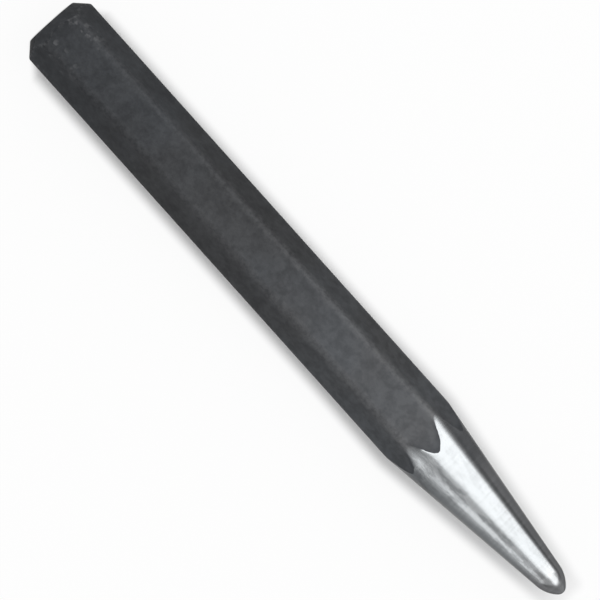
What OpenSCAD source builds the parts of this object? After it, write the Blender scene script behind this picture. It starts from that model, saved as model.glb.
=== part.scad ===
// Prick punch: one length of hexagon tool-steel bar with a chamfered struck end and a ground point.
// Sizes are in millimetres. It lies along X on one of its flats, with the point towards +X.
// The origin is on the surface it lies on, under the middle of its length.

/* [Bar] */
// Overall length, from the struck face to the tip
overall_length = 100; // [60:0.5:200]
// Width of the hexagon bar across its flats
across_flats = 9.8; // [7:0.1:16]
// Radius of the bar's rounded corners
corner_radius = 1.5; // [0.2:0.1:3]

/* [Struck end] */
// Width of the chamfer round the struck face, along the radius at a corner
chamfer_width = 1.7; // [0.8:0.1:3]
// Angle between the chamfer and the punch's axis
chamfer_angle = 45; // [30:1:60]

/* [Ground point] */
// Included angle of the long ground taper
taper_angle = 15; // [8:0.5:30]
// Diameter at which the long taper gives way to the rounded point
point_diameter = 4.1; // [2.6:0.1:6]
// Radius of the point's bulging outline, seen from the side
point_curve = 4.5; // [4:0.5:20]
// Radius of the very tip
tip_radius = 1; // [0.3:0.1:1.2]

/* [Hidden] */
$fn = 96;
// Straight steps that make up the point's outline and the rounded tip
point_steps = 10;
tip_steps = 6;
// Bar left over at each end before the ends are cut and ground
stock_allowance = 1;
// How far each rounded corner reaches past the flats beside it, so that it meets them at a clean line
corner_overlap = 0.005;
// Distances from the axis along a corner: to the centre of its rounding, to where the rounding leaves
// the flats, to the rounding's outside, and to where a sharp corner would be
corner_centre = (across_flats / 2 - corner_radius) / cos(30);
corner_cut = corner_centre + corner_radius * cos(30);
bar_reach = corner_centre + corner_radius + corner_overlap;
sharp_reach = across_flats / 2 / cos(30);
// Struck face, and the length of the chamfer's cone out to the sharp corners
face_radius = bar_reach - chamfer_width;
chamfer_length = (sharp_reach - face_radius) / tan(chamfer_angle);
// How far the ground surface leans in towards the tip: on the taper, and where point and tip meet.
// The outline has no corner at either place
taper_lean = taper_angle / 2;
tip_lean = acos((point_curve * cos(taper_lean) - point_diameter / 2) / (point_curve - tip_radius));
// Centres of the tip's and the point's curves, as distances from the axis and above the struck face
tip_centre = [0, overall_length - tip_radius];
point_centre = tip_centre - (point_curve - tip_radius) * [cos(tip_lean), sin(tip_lean)];
// Heights above the struck face at which the point and the long taper begin
point_start = point_centre[1] + point_curve * sin(taper_lean);
taper_start = point_start - (sharp_reach - point_diameter / 2) / tan(taper_lean);

// Points along an arc, after its first
function arc_onwards(centre, radius, from, to, steps) = [
    for (i = [1:steps])
        let (lean = from + (to - from) * i / steps)
            centre + radius * [cos(lean), sin(lean)]
];

// Section of the bar: a hexagon whose corners are cut across and then rounded
module bar_section() {
    intersection() {
        rotate(30)
            circle(r = sharp_reach, $fn = 6);
        union() {
            circle(r = corner_cut / cos(30), $fn = 6);
            for (i = [0:5])
                rotate(60 * i + 30)
                    translate([corner_centre, 0])
                        circle(r = corner_radius + corner_overlap);
        }
    }
}

// Everything that is left inside the struck face, the chamfer and the ground point
module ground_envelope() {
    rotate_extrude()
        polygon(concat(
            [
                [0, 0],
                [face_radius, 0],
                [sharp_reach, chamfer_length],
                [sharp_reach, taper_start],
                [point_diameter / 2, point_start]
            ],
            arc_onwards(point_centre, point_curve, taper_lean, tip_lean, point_steps),
            arc_onwards(tip_centre, tip_radius, tip_lean, 90, tip_steps)
        ));
}

// The whole punch, lying on one flat
module punch() {
    color("DimGray")
        translate([-overall_length / 2, 0, across_flats / 2])
            rotate([0, 90, 0])
                intersection() {
                    translate([0, 0, -stock_allowance])
                        linear_extrude(height = overall_length + 2 * stock_allowance)
                            bar_section();
                    ground_envelope();
                }
}

punch();
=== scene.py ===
import math
from types import SimpleNamespace

import bpy
import numpy as np
from mathutils import Matrix, Vector


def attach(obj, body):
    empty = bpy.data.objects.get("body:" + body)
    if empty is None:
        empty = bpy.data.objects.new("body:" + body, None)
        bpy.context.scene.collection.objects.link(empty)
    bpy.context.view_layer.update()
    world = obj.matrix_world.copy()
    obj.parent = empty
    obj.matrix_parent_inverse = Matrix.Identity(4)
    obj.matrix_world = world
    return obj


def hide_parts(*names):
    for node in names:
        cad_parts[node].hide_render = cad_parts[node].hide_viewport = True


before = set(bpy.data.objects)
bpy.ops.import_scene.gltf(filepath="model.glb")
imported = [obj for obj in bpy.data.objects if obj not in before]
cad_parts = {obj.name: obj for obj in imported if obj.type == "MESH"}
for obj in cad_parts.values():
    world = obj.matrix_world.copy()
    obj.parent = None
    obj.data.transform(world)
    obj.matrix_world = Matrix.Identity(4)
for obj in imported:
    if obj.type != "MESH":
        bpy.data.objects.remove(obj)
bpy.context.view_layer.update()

# Punch: one length of hexagon tool-steel bar, rolled with rounded corners and blackened all over.
# The struck end is faced and chamfered. The other end is ground through the black to a long taper
# and a rounded point, so the bright cone runs out on the flats in scallops. Sizes are in millimetres.
overall_length = 100.0
across_flats = 9.8
corner_radius = 1.5
face_radius = 3.73
chamfer_angle = math.radians(45)
taper_lean = math.radians(7.5)
point_radius = 2.05
point_curve = 4.5
tip_radius = 1.0
axis_height = across_flats / 2
millimetre = 0.001
# How far the edges of the struck face, of the chamfer and of the ground taper are eased
edge_easing = (0.16, 0.3, 0.4)

# The black's tone from deep to pale, each with a cool and a warm cast. Pale also carries a painted sheen.
deep_black_cool = (0.0298, 0.0317, 0.0349, 1)
deep_black_warm = (0.0309, 0.0317, 0.0338, 1)
pale_black_cool = (0.0814, 0.0865, 0.0933, 1)
pale_black_warm = (0.0845, 0.0865, 0.0901, 1)
# The black rubbed along the corners, which is wear and also a painted highlight, worn on the chamfer's
# edges, flecked, the flecks partly painted glints, and darkened by painted shade by the ground line
rubbed_and_highlit_black = (0.16, 0.161, 0.165, 1)
worn_black = (0.13, 0.131, 0.135, 1)
fleck_and_glint_black = (0.125, 0.127, 0.132, 1)
painted_shade_black = (0.025, 0.027, 0.032, 1)
# The ground steel in its bright band, a painted reflection, on the taper and on the rounded point
painted_band_taper = (0.495, 0.514, 0.526, 1)
painted_band_point = (0.575, 0.59, 0.6, 1)
# The ground steel darkened by painted shade: on the near and far sides, low down and at the tip
painted_shade_near_side = (0.173, 0.183, 0.19, 1)
painted_shade_far_side = (0.125, 0.127, 0.131, 1)
painted_shade_low_down = (0.26, 0.264, 0.27, 1)
painted_shade_tip = (0.14, 0.142, 0.146, 1)


def bar_section(flat_steps, corner_steps):
    """Points round the bar's section. A flat is a straight run at half the width across flats. A corner
    is an arc of the corner radius, about a centre on the line from the axis to where the sharp corner
    would be. One side is worked out and turned by 60 degrees six times. Returns each point's distance
    from the axis, its turn from straight up towards +Y, and its distance along the section from the
    nearest corner's middle."""
    half_side = math.pi / 6
    half_run = (axis_height - corner_radius) * math.tan(half_side)
    corner_centre = (axis_height - corner_radius) / math.cos(half_side)
    run = np.linspace(-half_run, half_run, flat_steps, endpoint=False)
    bend = np.linspace(0, 2 * half_side, corner_steps, endpoint=False)
    across = np.concatenate([run, corner_centre * math.sin(half_side) + corner_radius * np.sin(bend)])
    up = np.concatenate([
        np.full(flat_steps, axis_height),
        corner_centre * math.cos(half_side) + corner_radius * np.cos(bend),
    ])
    half_arc = corner_radius * half_side
    off_corner = np.concatenate([
        half_run + half_arc - np.abs(run),
        np.abs(bend * corner_radius - half_arc),
    ])
    reach = np.tile(np.hypot(across, up), 6)
    turn = (np.arange(6)[:, None] * 2 * half_side + np.arctan2(across, up)).ravel()
    return reach, turn, np.tile(off_corner, 6)


def eased_chain(points, easing, run_steps, curve_steps):
    """Rows of points along a chain of straight runs, for all columns of a grid at once. Each inner
    corner gives way to the quadratic curve (1 - t)^2 * before + 2t (1 - t) * corner + t^2 * after,
    where before and after lie the easing length from the corner on the two runs that meet there."""
    rows = []
    begin = points[0]
    for last, corner, following, ease, steps in zip(points, points[1:], points[2:], easing, run_steps):
        back = last - corner
        ahead = following - corner
        before = corner + ease * back / np.linalg.norm(back, axis=-1, keepdims=True)
        after = corner + ease * ahead / np.linalg.norm(ahead, axis=-1, keepdims=True)
        t = np.linspace(0, 1, steps, endpoint=False)[:, None, None]
        rows.append(begin + t * (before - begin))
        t = np.linspace(0, 1, curve_steps, endpoint=False)[:, None, None]
        rows.append((1 - t) ** 2 * before + 2 * t * (1 - t) * corner + t**2 * after)
        begin = after
    t = np.linspace(0, 1, run_steps[-1] + 1)[:, None, None]
    rows.append(begin + t * (points[-1] - begin))
    return np.concatenate(rows)


def arc(centre_x, centre_r, radius, first_lean, last_lean, steps):
    """Points after the first on an arc of a column's outline. The lean is the angle by which the
    outward direction tips from square to the axis towards the point. A point lies at the centre plus
    the radius times the sine of its lean along the axis, and times the cosine of it away from the
    axis."""
    lean = np.linspace(first_lean, last_lean, steps + 1)[1:]
    return np.stack([centre_x + radius * np.sin(lean), centre_r + radius * np.cos(lean)], -1)


def punch_skin():
    """The punch's skin on a grid. A column is one line along the punch at a fixed turn about the axis,
    and a row goes once round it. A column's outline, as distance from the struck face and from the
    axis, is an eased chain: out over the struck face, up the chamfer, along the bar at the section's
    reach, and down the taper's straight slope from where that slope meets the reach. The arc of the
    point runs on from the taper, and the arc of the tip from the point, each in the direction the last
    one ended. Returns the points and three notes at each, in millimetres: how far it is past the line
    where the grinding starts, off the bar's nearest corner, and off the nearer edge of the chamfer. The
    chamfer cuts the corners away, so its points count as well off them."""
    reach, turn, off_corner = bar_section(flat_steps=22, corner_steps=14)
    inner_curve = point_curve - tip_radius
    tip_lean = math.acos((point_curve * math.cos(taper_lean) - point_radius) / inner_curve)
    tip_x = overall_length - tip_radius
    point_x = tip_x - inner_curve * math.sin(tip_lean)
    point_start = point_x + point_curve * math.sin(taper_lean)
    taper_start = point_start - (reach - point_radius) / math.tan(taper_lean)
    chamfer_end = (reach - face_radius) / math.tan(chamfer_angle)

    innermost = 0.2
    # Rows on the struck face, the chamfer, the bar and the taper
    run_steps = (8, 6, 60, 60)
    same = np.ones_like(reach)
    chain = np.stack([
        np.stack([0 * same, innermost * same], -1),
        np.stack([0 * same, face_radius * same], -1),
        np.stack([chamfer_end, reach], -1),
        np.stack([taper_start, reach], -1),
        np.stack([point_start * same, point_radius * same], -1),
    ])
    sides = eased_chain(chain, edge_easing, run_steps, curve_steps=7)
    point = arc(point_x, -inner_curve * math.cos(tip_lean), point_curve, taper_lean, tip_lean, steps=24)
    tip = arc(tip_x, 0, tip_radius, tip_lean, math.pi / 2, steps=14)[:-1]
    nose = np.concatenate([point, tip])[:, None, :] * same[:, None]
    rows = np.concatenate([sides, nose])
    x, r = rows[..., 0], rows[..., 1]
    places = np.stack([x - overall_length / 2, r * np.sin(turn), axis_height + r * np.cos(turn)], -1)

    corner_fade = 0.3
    well_off = 3
    on_chamfer = np.clip((chamfer_end - x) / corner_fade, 0, 1)
    off_face_edge = np.hypot(x, r - face_radius)
    off_chamfer_edge = np.hypot(x - chamfer_end, r - reach)
    notes = {
        "past_ground_line": x - taper_start,
        "off_corner": off_corner + well_off * on_chamfer,
        "off_edge": np.minimum(off_face_edge, off_chamfer_edge),
    }
    return places, notes


def closed_grid(name, places, ends, notes):
    """A mesh from a grid that closes round its columns, with one more point at each end that closes it
    off. notes are numbers kept at each point. Sizes come in millimetres and the mesh is in metres."""
    rows, columns = places.shape[:2]
    points = np.concatenate([places.reshape(-1, 3), ends]) * millimetre
    here = np.arange(rows * columns).reshape(rows, columns)
    beside = np.roll(here, -1, axis=1)
    quads = np.stack([here[:-1], here[1:], beside[1:], beside[:-1]], -1).reshape(-1, 4)
    first = np.stack([np.full(columns, rows * columns), here[0], beside[0]], -1)
    last = np.stack([np.full(columns, rows * columns + 1), beside[-1], here[-1]], -1)
    mesh = bpy.data.meshes.new(name)
    mesh.from_pydata(points.tolist(), [], quads.tolist() + first.tolist() + last.tolist())
    for note, values in notes.items():
        kept = mesh.attributes.new(note, "FLOAT", "POINT")
        flat = np.concatenate([values.ravel(), [values[0].mean(), values[-1].mean()]])
        kept.data.foreach_set("value", flat.astype(np.float32))
    mesh.polygons.foreach_set("use_smooth", np.ones(len(mesh.polygons), bool))
    mesh.update()
    piece = bpy.data.objects.new(name, mesh)
    bpy.context.scene.collection.objects.link(piece)
    return piece


class Wire:
    """One output in a node tree. Arithmetic on it adds Math nodes."""

    def __init__(self, tree, output=None):
        self.tree = tree
        self.output = output

    def make(self, kind, sockets=None, give=0, **settings):
        """Makes any node: its settings first, then the values or links of its sockets. give is the
        output that is wanted. The node that ends a tree has none."""
        made = self.tree.nodes.new(kind)
        for name, value in settings.items():
            setattr(made, name, value)
        for name, value in (sockets or {}).items():
            if isinstance(value, Wire):
                self.tree.links.new(value.output, made.inputs[name])
            else:
                made.inputs[name].default_value = value
        return Wire(self.tree, made.outputs[give] if made.outputs else None)

    def other(self, give):
        """Another output of the same node."""
        return Wire(self.tree, self.output.node.outputs[give])

    def maths(self, operation, *numbers):
        """A Math node on numbers and wires."""
        return self.make("ShaderNodeMath", dict(enumerate(numbers)), operation=operation)

    def __add__(self, other):
        return self.maths("ADD", self, other)

    __radd__ = __add__

    def __sub__(self, other):
        return self.maths("SUBTRACT", self, other)

    def __rsub__(self, other):
        return self.maths("SUBTRACT", other, self)

    def __mul__(self, other):
        return self.maths("MULTIPLY", self, other)

    __rmul__ = __mul__

    def rise(self, low, high):
        """0 below low, 1 above high and a smooth climb between."""
        return self.make(
            "ShaderNodeMapRange",
            {"Value": self, "From Min": low, "From Max": high},
            interpolation_type="SMOOTHSTEP",
        )

    def fall(self, low, high):
        """1 below low, 0 above high and a smooth drop between."""
        return 1 - self.rise(low, high)

    def between(self, colour_a, colour_b):
        """The colour this far from a to b."""
        return self.make("ShaderNodeMix", {0: self, 6: colour_a, 7: colour_b}, give=2, data_type="RGBA")

    def noise(self, place, cells, detail=2, rough=0.5):
        """Soft random values about 0.5, with so many cells to one unit of place."""
        return self.make(
            "ShaderNodeTexNoise", {"Vector": place, "Scale": cells, "Detail": detail, "Roughness": rough}
        )

    def note(self, name):
        """A number that the mesh keeps at each point."""
        return self.make("ShaderNodeAttribute", give="Fac", attribute_name=name)


def cleared(holder):
    """The empty node tree of a material or world, ready for its nodes."""
    holder.use_nodes = True
    holder.node_tree.nodes.clear()
    return Wire(holder.node_tree)


def punch_places(nodes):
    """What the finish goes by at each point of the skin. place is the point in metres, and along is how
    far it lies from the middle of the length towards the tip, in millimetres. off_axis is its distance
    from the axis, and round_axis its direction from it. far, near and over are how far that direction
    goes to +Y, to -Y and up. With them come the mesh's notes, and the noises that more than one finish
    shares."""
    place = nodes.make("ShaderNodeTexCoord", give="Object")
    down_to_axis = (0, 0, -axis_height * millimetre)
    from_axis = nodes.make("ShaderNodeVectorMath", {0: place, 1: down_to_axis}, operation="ADD")
    from_axis = nodes.make("ShaderNodeVectorMath", {0: from_axis, 1: (0, 1, 1)}, operation="MULTIPLY")
    round_axis = nodes.make("ShaderNodeVectorMath", {0: from_axis}, operation="NORMALIZE")
    far = nodes.make("ShaderNodeSeparateXYZ", {"Vector": round_axis}, give="Y")
    drawn_along = nodes.make("ShaderNodeMapping", {"Vector": place, "Scale": (0.3, 1.0, 1.0)})
    return SimpleNamespace(
        place=place,
        along=nodes.make("ShaderNodeSeparateXYZ", {"Vector": place}, give="X") * (1 / millimetre),
        off_axis=nodes.make("ShaderNodeVectorMath", {0: from_axis}, give="Value", operation="LENGTH"),
        round_axis=round_axis,
        far=far,
        near=0 - far,
        over=far.other("Z"),
        past_ground_line=nodes.note("past_ground_line"),
        off_corner=nodes.note("off_corner"),
        off_edge=nodes.note("off_edge"),
        mottle=nodes.noise(place, cells=240, detail=3),
        speckle=nodes.noise(place, cells=1700, detail=3, rough=0.6),
        smear=nodes.noise(drawn_along, cells=1100, detail=3, rough=0.6),
    )


def ground_through(nodes, at):
    """1 where the grinding has cut through the black, and 0 where it hasn't. It starts at the ground
    line, less a margin that is widest at the corners and wanders with the mottling. Its edge is ragged,
    long and soft on the near side, and softer than elsewhere at the far corner. Just past the run-out a
    little black is left, in smears on the near side, where it also stands in as painted shade, and evenly
    on the far one."""
    corner_margin = 0.5
    wandering = 1.2
    raggedness = 0.5
    sharp = 0.04
    near_feather = 2.6
    far_corner_before = 0.5
    far_corner_after = 0.3
    film_and_shade_near = 0.22
    smears_and_shade_near = 0.32
    film_left_far = 0.55
    ragged = nodes.noise(at.place, cells=1500, detail=3)
    held_back = corner_margin * at.off_corner.fall(0.1, 1.3) + (at.mottle - 0.5) * wandering
    feather = sharp + near_feather * at.near.rise(0.25, 0.45) * at.near.fall(0.6, 0.8)
    far_corner = at.far.rise(0.35, 0.45) * at.far.fall(0.55, 0.65) * at.over.rise(0.0, 0.2)
    depth = at.past_ground_line - held_back + (ragged - 0.5) * raggedness
    cut = depth.rise(-sharp - far_corner_before * far_corner, feather + far_corner_after * far_corner)

    # Black left just past the run-out on the near side, which also stands in as painted shade there
    black_and_shade_near = film_and_shade_near + smears_and_shade_near * at.smear.fall(0.35, 0.6)
    black_and_shade_near = black_and_shade_near * at.near.rise(0.25, 0.45) * at.along.rise(23.5, 26.2)
    left_far = film_left_far * at.far.rise(0.5, 0.65) * at.along.rise(21.0, 23.5)
    run_out = at.along.fall(28.0, 32.5) * at.over.rise(-0.2, 0.2)
    return cut * (1 - (black_and_shade_near + left_far) * run_out)


def black_oxide(nodes, at, metal):
    """The black. Its tone goes from deep to pale with speckles, mottling and patches, and with blotches.
    A painted sheen makes it paler with the distance towards the ground end, most of all on the upper
    flat. Rings from facing show on the struck face. Its cast drifts between cool and warm. It is rubbed
    lighter along the corners, which is wear and also a painted highlight, more so by the ground line. It
    is worn in spots on the chamfer's edges and flecked near the struck end, the flecks partly painted
    glints. Painted shade darkens the flats beside the ground line."""
    mottling = 0.16
    blotching = 0.14
    blotching_in_painted_sheen = 0.2
    # Painted sheen: how much paler the black is made towards the ground end, and more on the upper flat
    painted_sheen_along = 0.5
    painted_sheen_on_top = 0.2
    ring_marks = 0.22
    ring_depth = 2.0
    base_tone = -0.07
    wear = 0.4
    flecking_and_glints = 0.5
    painted_shading = 0.25
    fleck_and_glint_shift = (0.023, 0.0, 0.0)
    # Painted sheen mask, rising along the length towards the ground end
    painted_sheen_to_tip = at.along.rise(-26.0, 28.0)
    on_face = at.along.fall(-49.99, -49.9)
    patches = nodes.noise(at.place, cells=95)
    blotches = nodes.noise(at.place, cells=760)
    rings = nodes.noise(nodes.make("ShaderNodeCombineXYZ", {"X": at.off_axis}), cells=3600)
    grades = at.speckle.rise(0.3, 0.7) + at.mottle.rise(0.3, 0.7) + patches.rise(0.3, 0.7)
    tone = base_tone + mottling * grades
    tone = tone + (blotches.rise(0.35, 0.65) - 0.5) * (blotching + blotching_in_painted_sheen * painted_sheen_to_tip)
    # Painted sheen: paler towards the ground end, most of all on the upper flat
    tone = tone + painted_sheen_to_tip * (painted_sheen_along + painted_sheen_on_top * at.over.rise(0.7, 0.95))
    tone = tone + (rings.rise(0.35, 0.65) - 0.4) * on_face * ring_marks
    cool = tone.between(deep_black_cool, pale_black_cool)
    warm = tone.between(deep_black_warm, pale_black_warm)
    colour = nodes.noise(at.place, cells=60).rise(0.35, 0.65).between(warm, cool)

    # Lighter along the corners: wear, and also a painted highlight along them, wider by the ground line
    rubbed_and_highlit = at.off_corner.fall(0.1, 1.1) * (0.25 + 0.75 * at.speckle.rise(0.25, 0.7)) * (0.3 + 0.7 * painted_sheen_to_tip)
    rubbed_and_highlit = rubbed_and_highlit * (0.4 + 0.35 * at.past_ground_line.rise(-4.0, -0.5))
    colour = rubbed_and_highlit.between(colour, rubbed_and_highlit_black)
    in_spots = (at.speckle * 0.6 + at.mottle * 0.4).rise(0.46, 0.6)
    worn = wear * at.off_edge.fall(0.05, 0.4) * in_spots
    colour = worn.between(colour, worn_black)
    # Light flecks near the struck end, partly painted glints along the chamfer's corners
    shifted = nodes.make("ShaderNodeMapping", {"Vector": at.place, "Location": fleck_and_glint_shift})
    flecks_and_glints = flecking_and_glints * nodes.noise(shifted, cells=900).rise(0.55, 0.66)
    flecks_and_glints = flecks_and_glints * at.off_corner.fall(0.7, 2.0) * at.along.fall(-46.0, -41.0)
    colour = flecks_and_glints.between(colour, fleck_and_glint_black)
    # Painted shade darkening the flats just before the ground line
    painted_shade_by_ground_line = at.past_ground_line.rise(-1.5, -0.1) * at.off_corner.rise(0.3, 1.2)
    painted_shade_by_ground_line = painted_shading * painted_shade_by_ground_line * (1 + at.mottle.rise(0.35, 0.6))
    colour = painted_shade_by_ground_line.between(colour, painted_shade_black)

    height = nodes.noise(at.place, cells=5200) + ring_depth * rings * on_face
    grain = nodes.make("ShaderNodeBump", {"Height": height, "Distance": 6e-6})
    return nodes.make(
        "ShaderNodeBsdfPrincipled",
        {
            "Base Color": colour,
            "Metallic": metal,
            "Roughness": 0.42 + at.mottle * 0.12,
            "Normal": grain,
            "Specular IOR Level": 1.0,
            "Specular Tint": (0.25, 0.25, 0.25, 1),
        },
    )


def bare_steel(nodes, at, metal):
    """The ground steel. A painted reflection makes it bright in a band along its top and another
    underneath, by 1 less twice the square of far, shifted a little to the near side and broken by streaks
    along the taper. The band is smeared, most of all on the near side, where the smears are also painted
    shade, cut short on the far side, and darkened at the very tip by painted shade. Between the bands it
    is darkened by painted shade, in shades for the near side, the far side, low down and the tip. Fine
    lines and deeper scores from the wheel run round it."""
    near_shift = 0.15
    streakiness = 0.6
    smearing = 0.12
    smearing_and_shade_near = 0.4
    score_marks = 0.1
    score_depth = 8.0
    tip_hollow = 3.0
    # Painted shade on the point's near side, at the tip and on the far side
    point_painted_shade_near = 0.4
    tip_painted_shade = 0.85
    far_side_painted_shade = 0.9
    streak = nodes.noise(at.round_axis, cells=3.2, detail=3, rough=0.55)
    drawn_round = nodes.make("ShaderNodeMapping", {"Vector": at.place, "Scale": (1.0, 0.06, 0.06)})
    lines = nodes.noise(drawn_round, cells=9000)
    scores = nodes.noise(drawn_round, cells=2600, detail=3, rough=0.6)
    on_point = at.along.rise(44.5, 47.5)
    at_tip = (at.along + tip_hollow * at.far * at.far).rise(48.3, 48.9)
    # Painted reflection: a bright band along the top and underneath, with painted shade between the bands
    painted_band = 1 - 2 * at.far * at.far - near_shift * at.far
    painted_band_share = (painted_band + (streak - 0.5) * streakiness).rise(-0.35, 0.35)
    # Smears break the band; on the near side they are also painted shade
    smudged_and_shaded = smearing + smearing_and_shade_near * at.near.rise(0.1, 0.35)
    painted_band_share = painted_band_share * (1 - smudged_and_shaded * at.smear.fall(0.35, 0.6))
    painted_band_share = painted_band_share * (1 - point_painted_shade_near * on_point * at.near.rise(0.0, 0.2))
    painted_band_share = painted_band_share * (1 - tip_painted_shade * at_tip)
    painted_band_share = painted_band_share * (1 - far_side_painted_shade * at.far.rise(0.42, 0.625))

    # The painted band's colour, and the painted shade's colours for the near side, far side, low down and
    # tip
    painted_band_colour = on_point.between(painted_band_taper, painted_band_point)
    painted_shade_colour = at.far.rise(-0.3, 0.3).between(painted_shade_near_side, painted_shade_far_side)
    painted_shade_colour = at.over.rise(0.2, 0.42).between(painted_shade_low_down, painted_shade_colour)
    painted_shade_colour = at.along.rise(42.0, 48.5).between(painted_shade_colour, painted_shade_tip)
    colour = (painted_band_share + (scores.rise(0.3, 0.7) - 0.5) * score_marks).between(painted_shade_colour, painted_band_colour)
    grain = nodes.make("ShaderNodeBump", {"Height": lines + score_depth * scores, "Distance": 1.5e-6})
    return nodes.make(
        "ShaderNodeBsdfPrincipled",
        {
            "Base Color": colour,
            "Metallic": metal,
            "Roughness": 0.17 + streak * 0.06 + lines * 0.04 + scores * 0.04,
            "Normal": grain,
            "Specular Tint": (0.5, 0.5, 0.5, 1),
        },
    )


def punch_finish():
    """The black, which is the less metallic, and the bare steel where the grinding has cut through."""
    material = bpy.data.materials.new("blackened_and_ground_steel")
    nodes = cleared(material)
    at = punch_places(nodes)
    ground = ground_through(nodes, at)
    metal = 0.7 + 0.3 * ground
    black = black_oxide(nodes, at, metal)
    steel = bare_steel(nodes, at, metal)
    surface = nodes.make("ShaderNodeMixShader", {0: ground, 1: black, 2: steel})
    nodes.make("ShaderNodeOutputMaterial", {"Surface": surface})
    return material


places, notes = punch_skin()
ends = np.array([[-overall_length / 2, 0, axis_height], [overall_length / 2, 0, axis_height]])
finished_punch = closed_grid("finished_punch", places, ends, notes)
finished_punch.data.materials.append(punch_finish())
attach(finished_punch, "root")
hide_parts("punch")

# Floor: a plain pale sheet that the punch lies on. The camera and reflections see it as white, but
# less so within 2 mm of the punch, where the darker lit grey paints a narrow shade and shows the real
# shadow there.
floor_reach = 5
floor_grey = (0.78, 0.78, 0.78, 1)
floor_white = 0.99


def floor_paint():
    """Lit grey paint, mixed with plain white for the camera and for reflections. The share of white
    rises with the rounded distance from an outline round the punch, in millimetres. The outline is as
    wide as the bar, draws in with the taper, draws in over the last few millimetres to the struck end,
    and is a little wider by the ground end. Beyond the struck end the distance counts several times
    over, because the shade is narrow there. The grey, darker than the white, makes a painted shade
    along the outline on top of the real shadow that it shows."""
    bar_half_width = 5.4
    taper_end = 47.1
    head_narrowing_end = 46.0
    head_slope = 0.75
    ground_end_widening = 0.3
    head_end = 50.0
    tip_end = 50.3
    head_times = 4.0
    shade_width = 1.9
    soft_shade_width = 60.0
    white_under = 0.03
    white_beside = 0.91
    white_far_off = 0.03
    material = bpy.data.materials.new("pale_floor")
    nodes = cleared(material)
    spot = nodes.make("ShaderNodeTexCoord", give="Object")
    along = nodes.make("ShaderNodeSeparateXYZ", {"Vector": spot}, give="X")
    across = nodes.maths("ABSOLUTE", along.other("Y")) * (1 / millimetre)
    along = along * (1 / millimetre)
    by_taper = point_radius + (taper_end - along) * math.tan(taper_lean)
    by_head = bar_half_width + (along + head_narrowing_end) * head_slope
    half_width = nodes.maths("MINIMUM", bar_half_width, by_taper)
    half_width = nodes.maths("MINIMUM", half_width, by_head)
    half_width = half_width + ground_end_widening * along.rise(5.0, 28.0)
    beside = nodes.maths("MAXIMUM", across - half_width, 0.0)
    beyond = nodes.maths("MAXIMUM", along - tip_end, (-head_end - along) * head_times)
    beyond = nodes.maths("MAXIMUM", beyond, 0.0)
    clear = nodes.maths("SQRT", beside * beside + beyond * beyond)
    share = white_under + white_beside * clear.rise(0.0, shade_width)
    share = share + white_far_off * clear.rise(shade_width, soft_shade_width)
    ray = nodes.make("ShaderNodeLightPath", give="Is Camera Ray")
    seen = ray + ray.other("Is Glossy Ray") + ray.other("Is Transmission Ray")
    lit = nodes.make("ShaderNodeBsdfDiffuse", {"Color": floor_grey})
    white = nodes.make("ShaderNodeEmission", {"Color": (1, 1, 1, 1), "Strength": floor_white})
    surface = nodes.make("ShaderNodeMixShader", {0: seen * share, 1: lit, 2: white})
    nodes.make("ShaderNodeOutputMaterial", {"Surface": surface})
    return material


floor_mesh = bpy.data.meshes.new("floor")
floor_corners = [(x * floor_reach, y * floor_reach, 0) for x, y in ((-1, -1), (1, -1), (1, 1), (-1, 1))]
floor_mesh.from_pydata(floor_corners, [], [(0, 1, 2, 3)])
floor_mesh.materials.append(floor_paint())
floor = bpy.data.objects.new("floor", floor_mesh)
bpy.context.scene.collection.objects.link(floor)

# Light: a room with grey walls, paler overhead and palest at the two ends of the punch, and seven
# softboxes. The overhead and far-side ones make the bright band on the taper, and the rest light the
# flats, the sides of the taper and the two ends. Places and sizes are in metres.
wall_grey = (0.42, 0.42, 0.42, 1)
wall_pale = (0.82, 0.82, 0.82, 1)
overhead_share = 0.5
world = bpy.data.worlds.new("room")
nodes = cleared(world)
looking = nodes.make("ShaderNodeTexCoord", give="Generated")
upwards = nodes.make("ShaderNodeSeparateXYZ", {"Vector": looking}, give="Z")
endways = nodes.maths("ABSOLUTE", upwards.other("X")).rise(0.4, 0.8)
pale = nodes.maths("MAXIMUM", upwards.rise(0.1, 0.5) * overhead_share, endways)
walls = pale.between(wall_grey, wall_pale)
room = nodes.make("ShaderNodeBackground", {"Color": walls, "Strength": 1.0})
nodes.make("ShaderNodeOutputWorld", {"Surface": room})
bpy.context.scene.world = world


def standing(centre, back, right):
    """Where a lamp or camera stands: at centre, with its back the way of back, and its right-hand side
    square to that and as near as can be to the way of right."""
    right = (right - right.dot(back) * back).normalized()
    turned = Matrix((right, back.cross(right), back)).transposed().to_4x4()
    return Matrix.Translation(centre) @ turned


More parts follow.
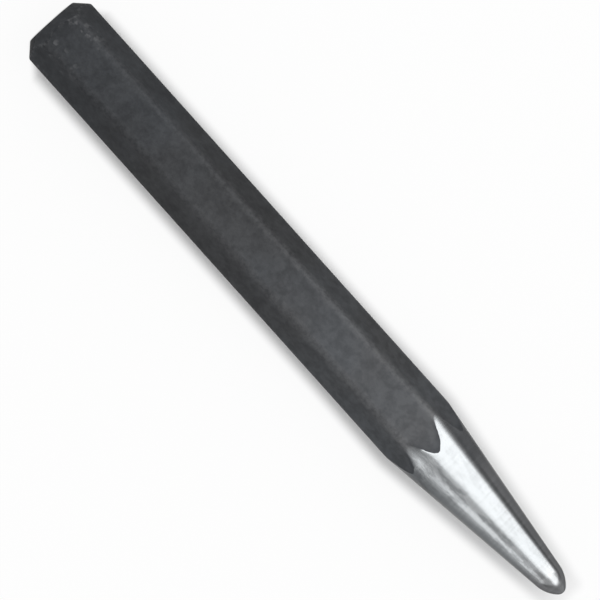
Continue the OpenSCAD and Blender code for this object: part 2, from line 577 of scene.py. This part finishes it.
def softbox(name, centre, towards, length, width, brightness):
    """A flat lamp that faces a place on the punch, with its length across the punch. brightness is what
    it looks like in a mirror, where 1 is white."""
    lamp = bpy.data.lights.new(name, "AREA")
    lamp.shape = "RECTANGLE"
    lamp.size = width
    lamp.size_y = length
    lamp.energy = brightness * math.pi * width * length
    made = bpy.data.objects.new(name, lamp)
    back = (Vector(centre) - Vector(towards)).normalized()
    made.matrix_world = standing(Vector(centre), back, Vector((1, 0, 0)))
    made.visible_camera = False
    bpy.context.scene.collection.objects.link(made)


softbox(
    "overhead", centre=(0.056, 0.0331, 0.335), towards=(0.056, 0, 0.008),
    length=0.349, width=0.232, brightness=1.34,
)
softbox(
    "far_side", centre=(0.0535, 0.258, 0.243), towards=(0.0535, 0, 0.008),
    length=0.175, width=0.207, brightness=1.58,
)
softbox(
    "beyond_point", centre=(0.270, 0.07, 0.244), towards=(0.047, 0, 0.005),
    length=0.30, width=0.264, brightness=1.0,
)
softbox(
    "near_bar", centre=(0.005, -0.2167, 0.2955), towards=(0.005, 0, 0.008),
    length=0.248, width=0.13, brightness=0.5,
)
softbox(
    "near_side", centre=(0.105, -0.378, 0.138), towards=(0.105, 0, 0.008),
    length=0.2144, width=0.15, brightness=0.9,
)
softbox(
    "beyond_head", centre=(-0.30, 0, 0.10), towards=(-0.05, 0, 0.005),
    length=0.30, width=0.20, brightness=0.5,
)
softbox(
    "far_behind_head", centre=(-0.36, 0.36, 0.24), towards=(0, 0, 0.008),
    length=0.36, width=0.36, brightness=0.9,
)

# Camera: a long lens that looks down on the upper flat, leaning a little to the near side. The picture
# is turned, so that the punch lies in it from the upper left to the lower right. Sizes are in metres.
sensor_width_in_millimetres = 36
camera_distance = 1.5
picture_width = 0.078255
picture_middle = Vector((-0.001334, -0.000085, 0.0049))
picture_right = Vector((0.66724, 0.74484, 0))
camera_lean = math.radians(2.3)
camera_back = Vector((0, -math.sin(camera_lean), math.cos(camera_lean)))
camera_data = bpy.data.cameras.new("camera")
camera_data.sensor_width = sensor_width_in_millimetres
camera_data.lens = sensor_width_in_millimetres * camera_distance / picture_width
camera_data.clip_start = 0.01
camera_data.clip_end = 20
camera = bpy.data.objects.new("camera", camera_data)
camera.matrix_world = standing(picture_middle + camera_distance * camera_back, camera_back, picture_right)
bpy.context.scene.collection.objects.link(camera)
bpy.context.scene.camera = camera
bpy.context.scene.view_settings.view_transform = "Standard"
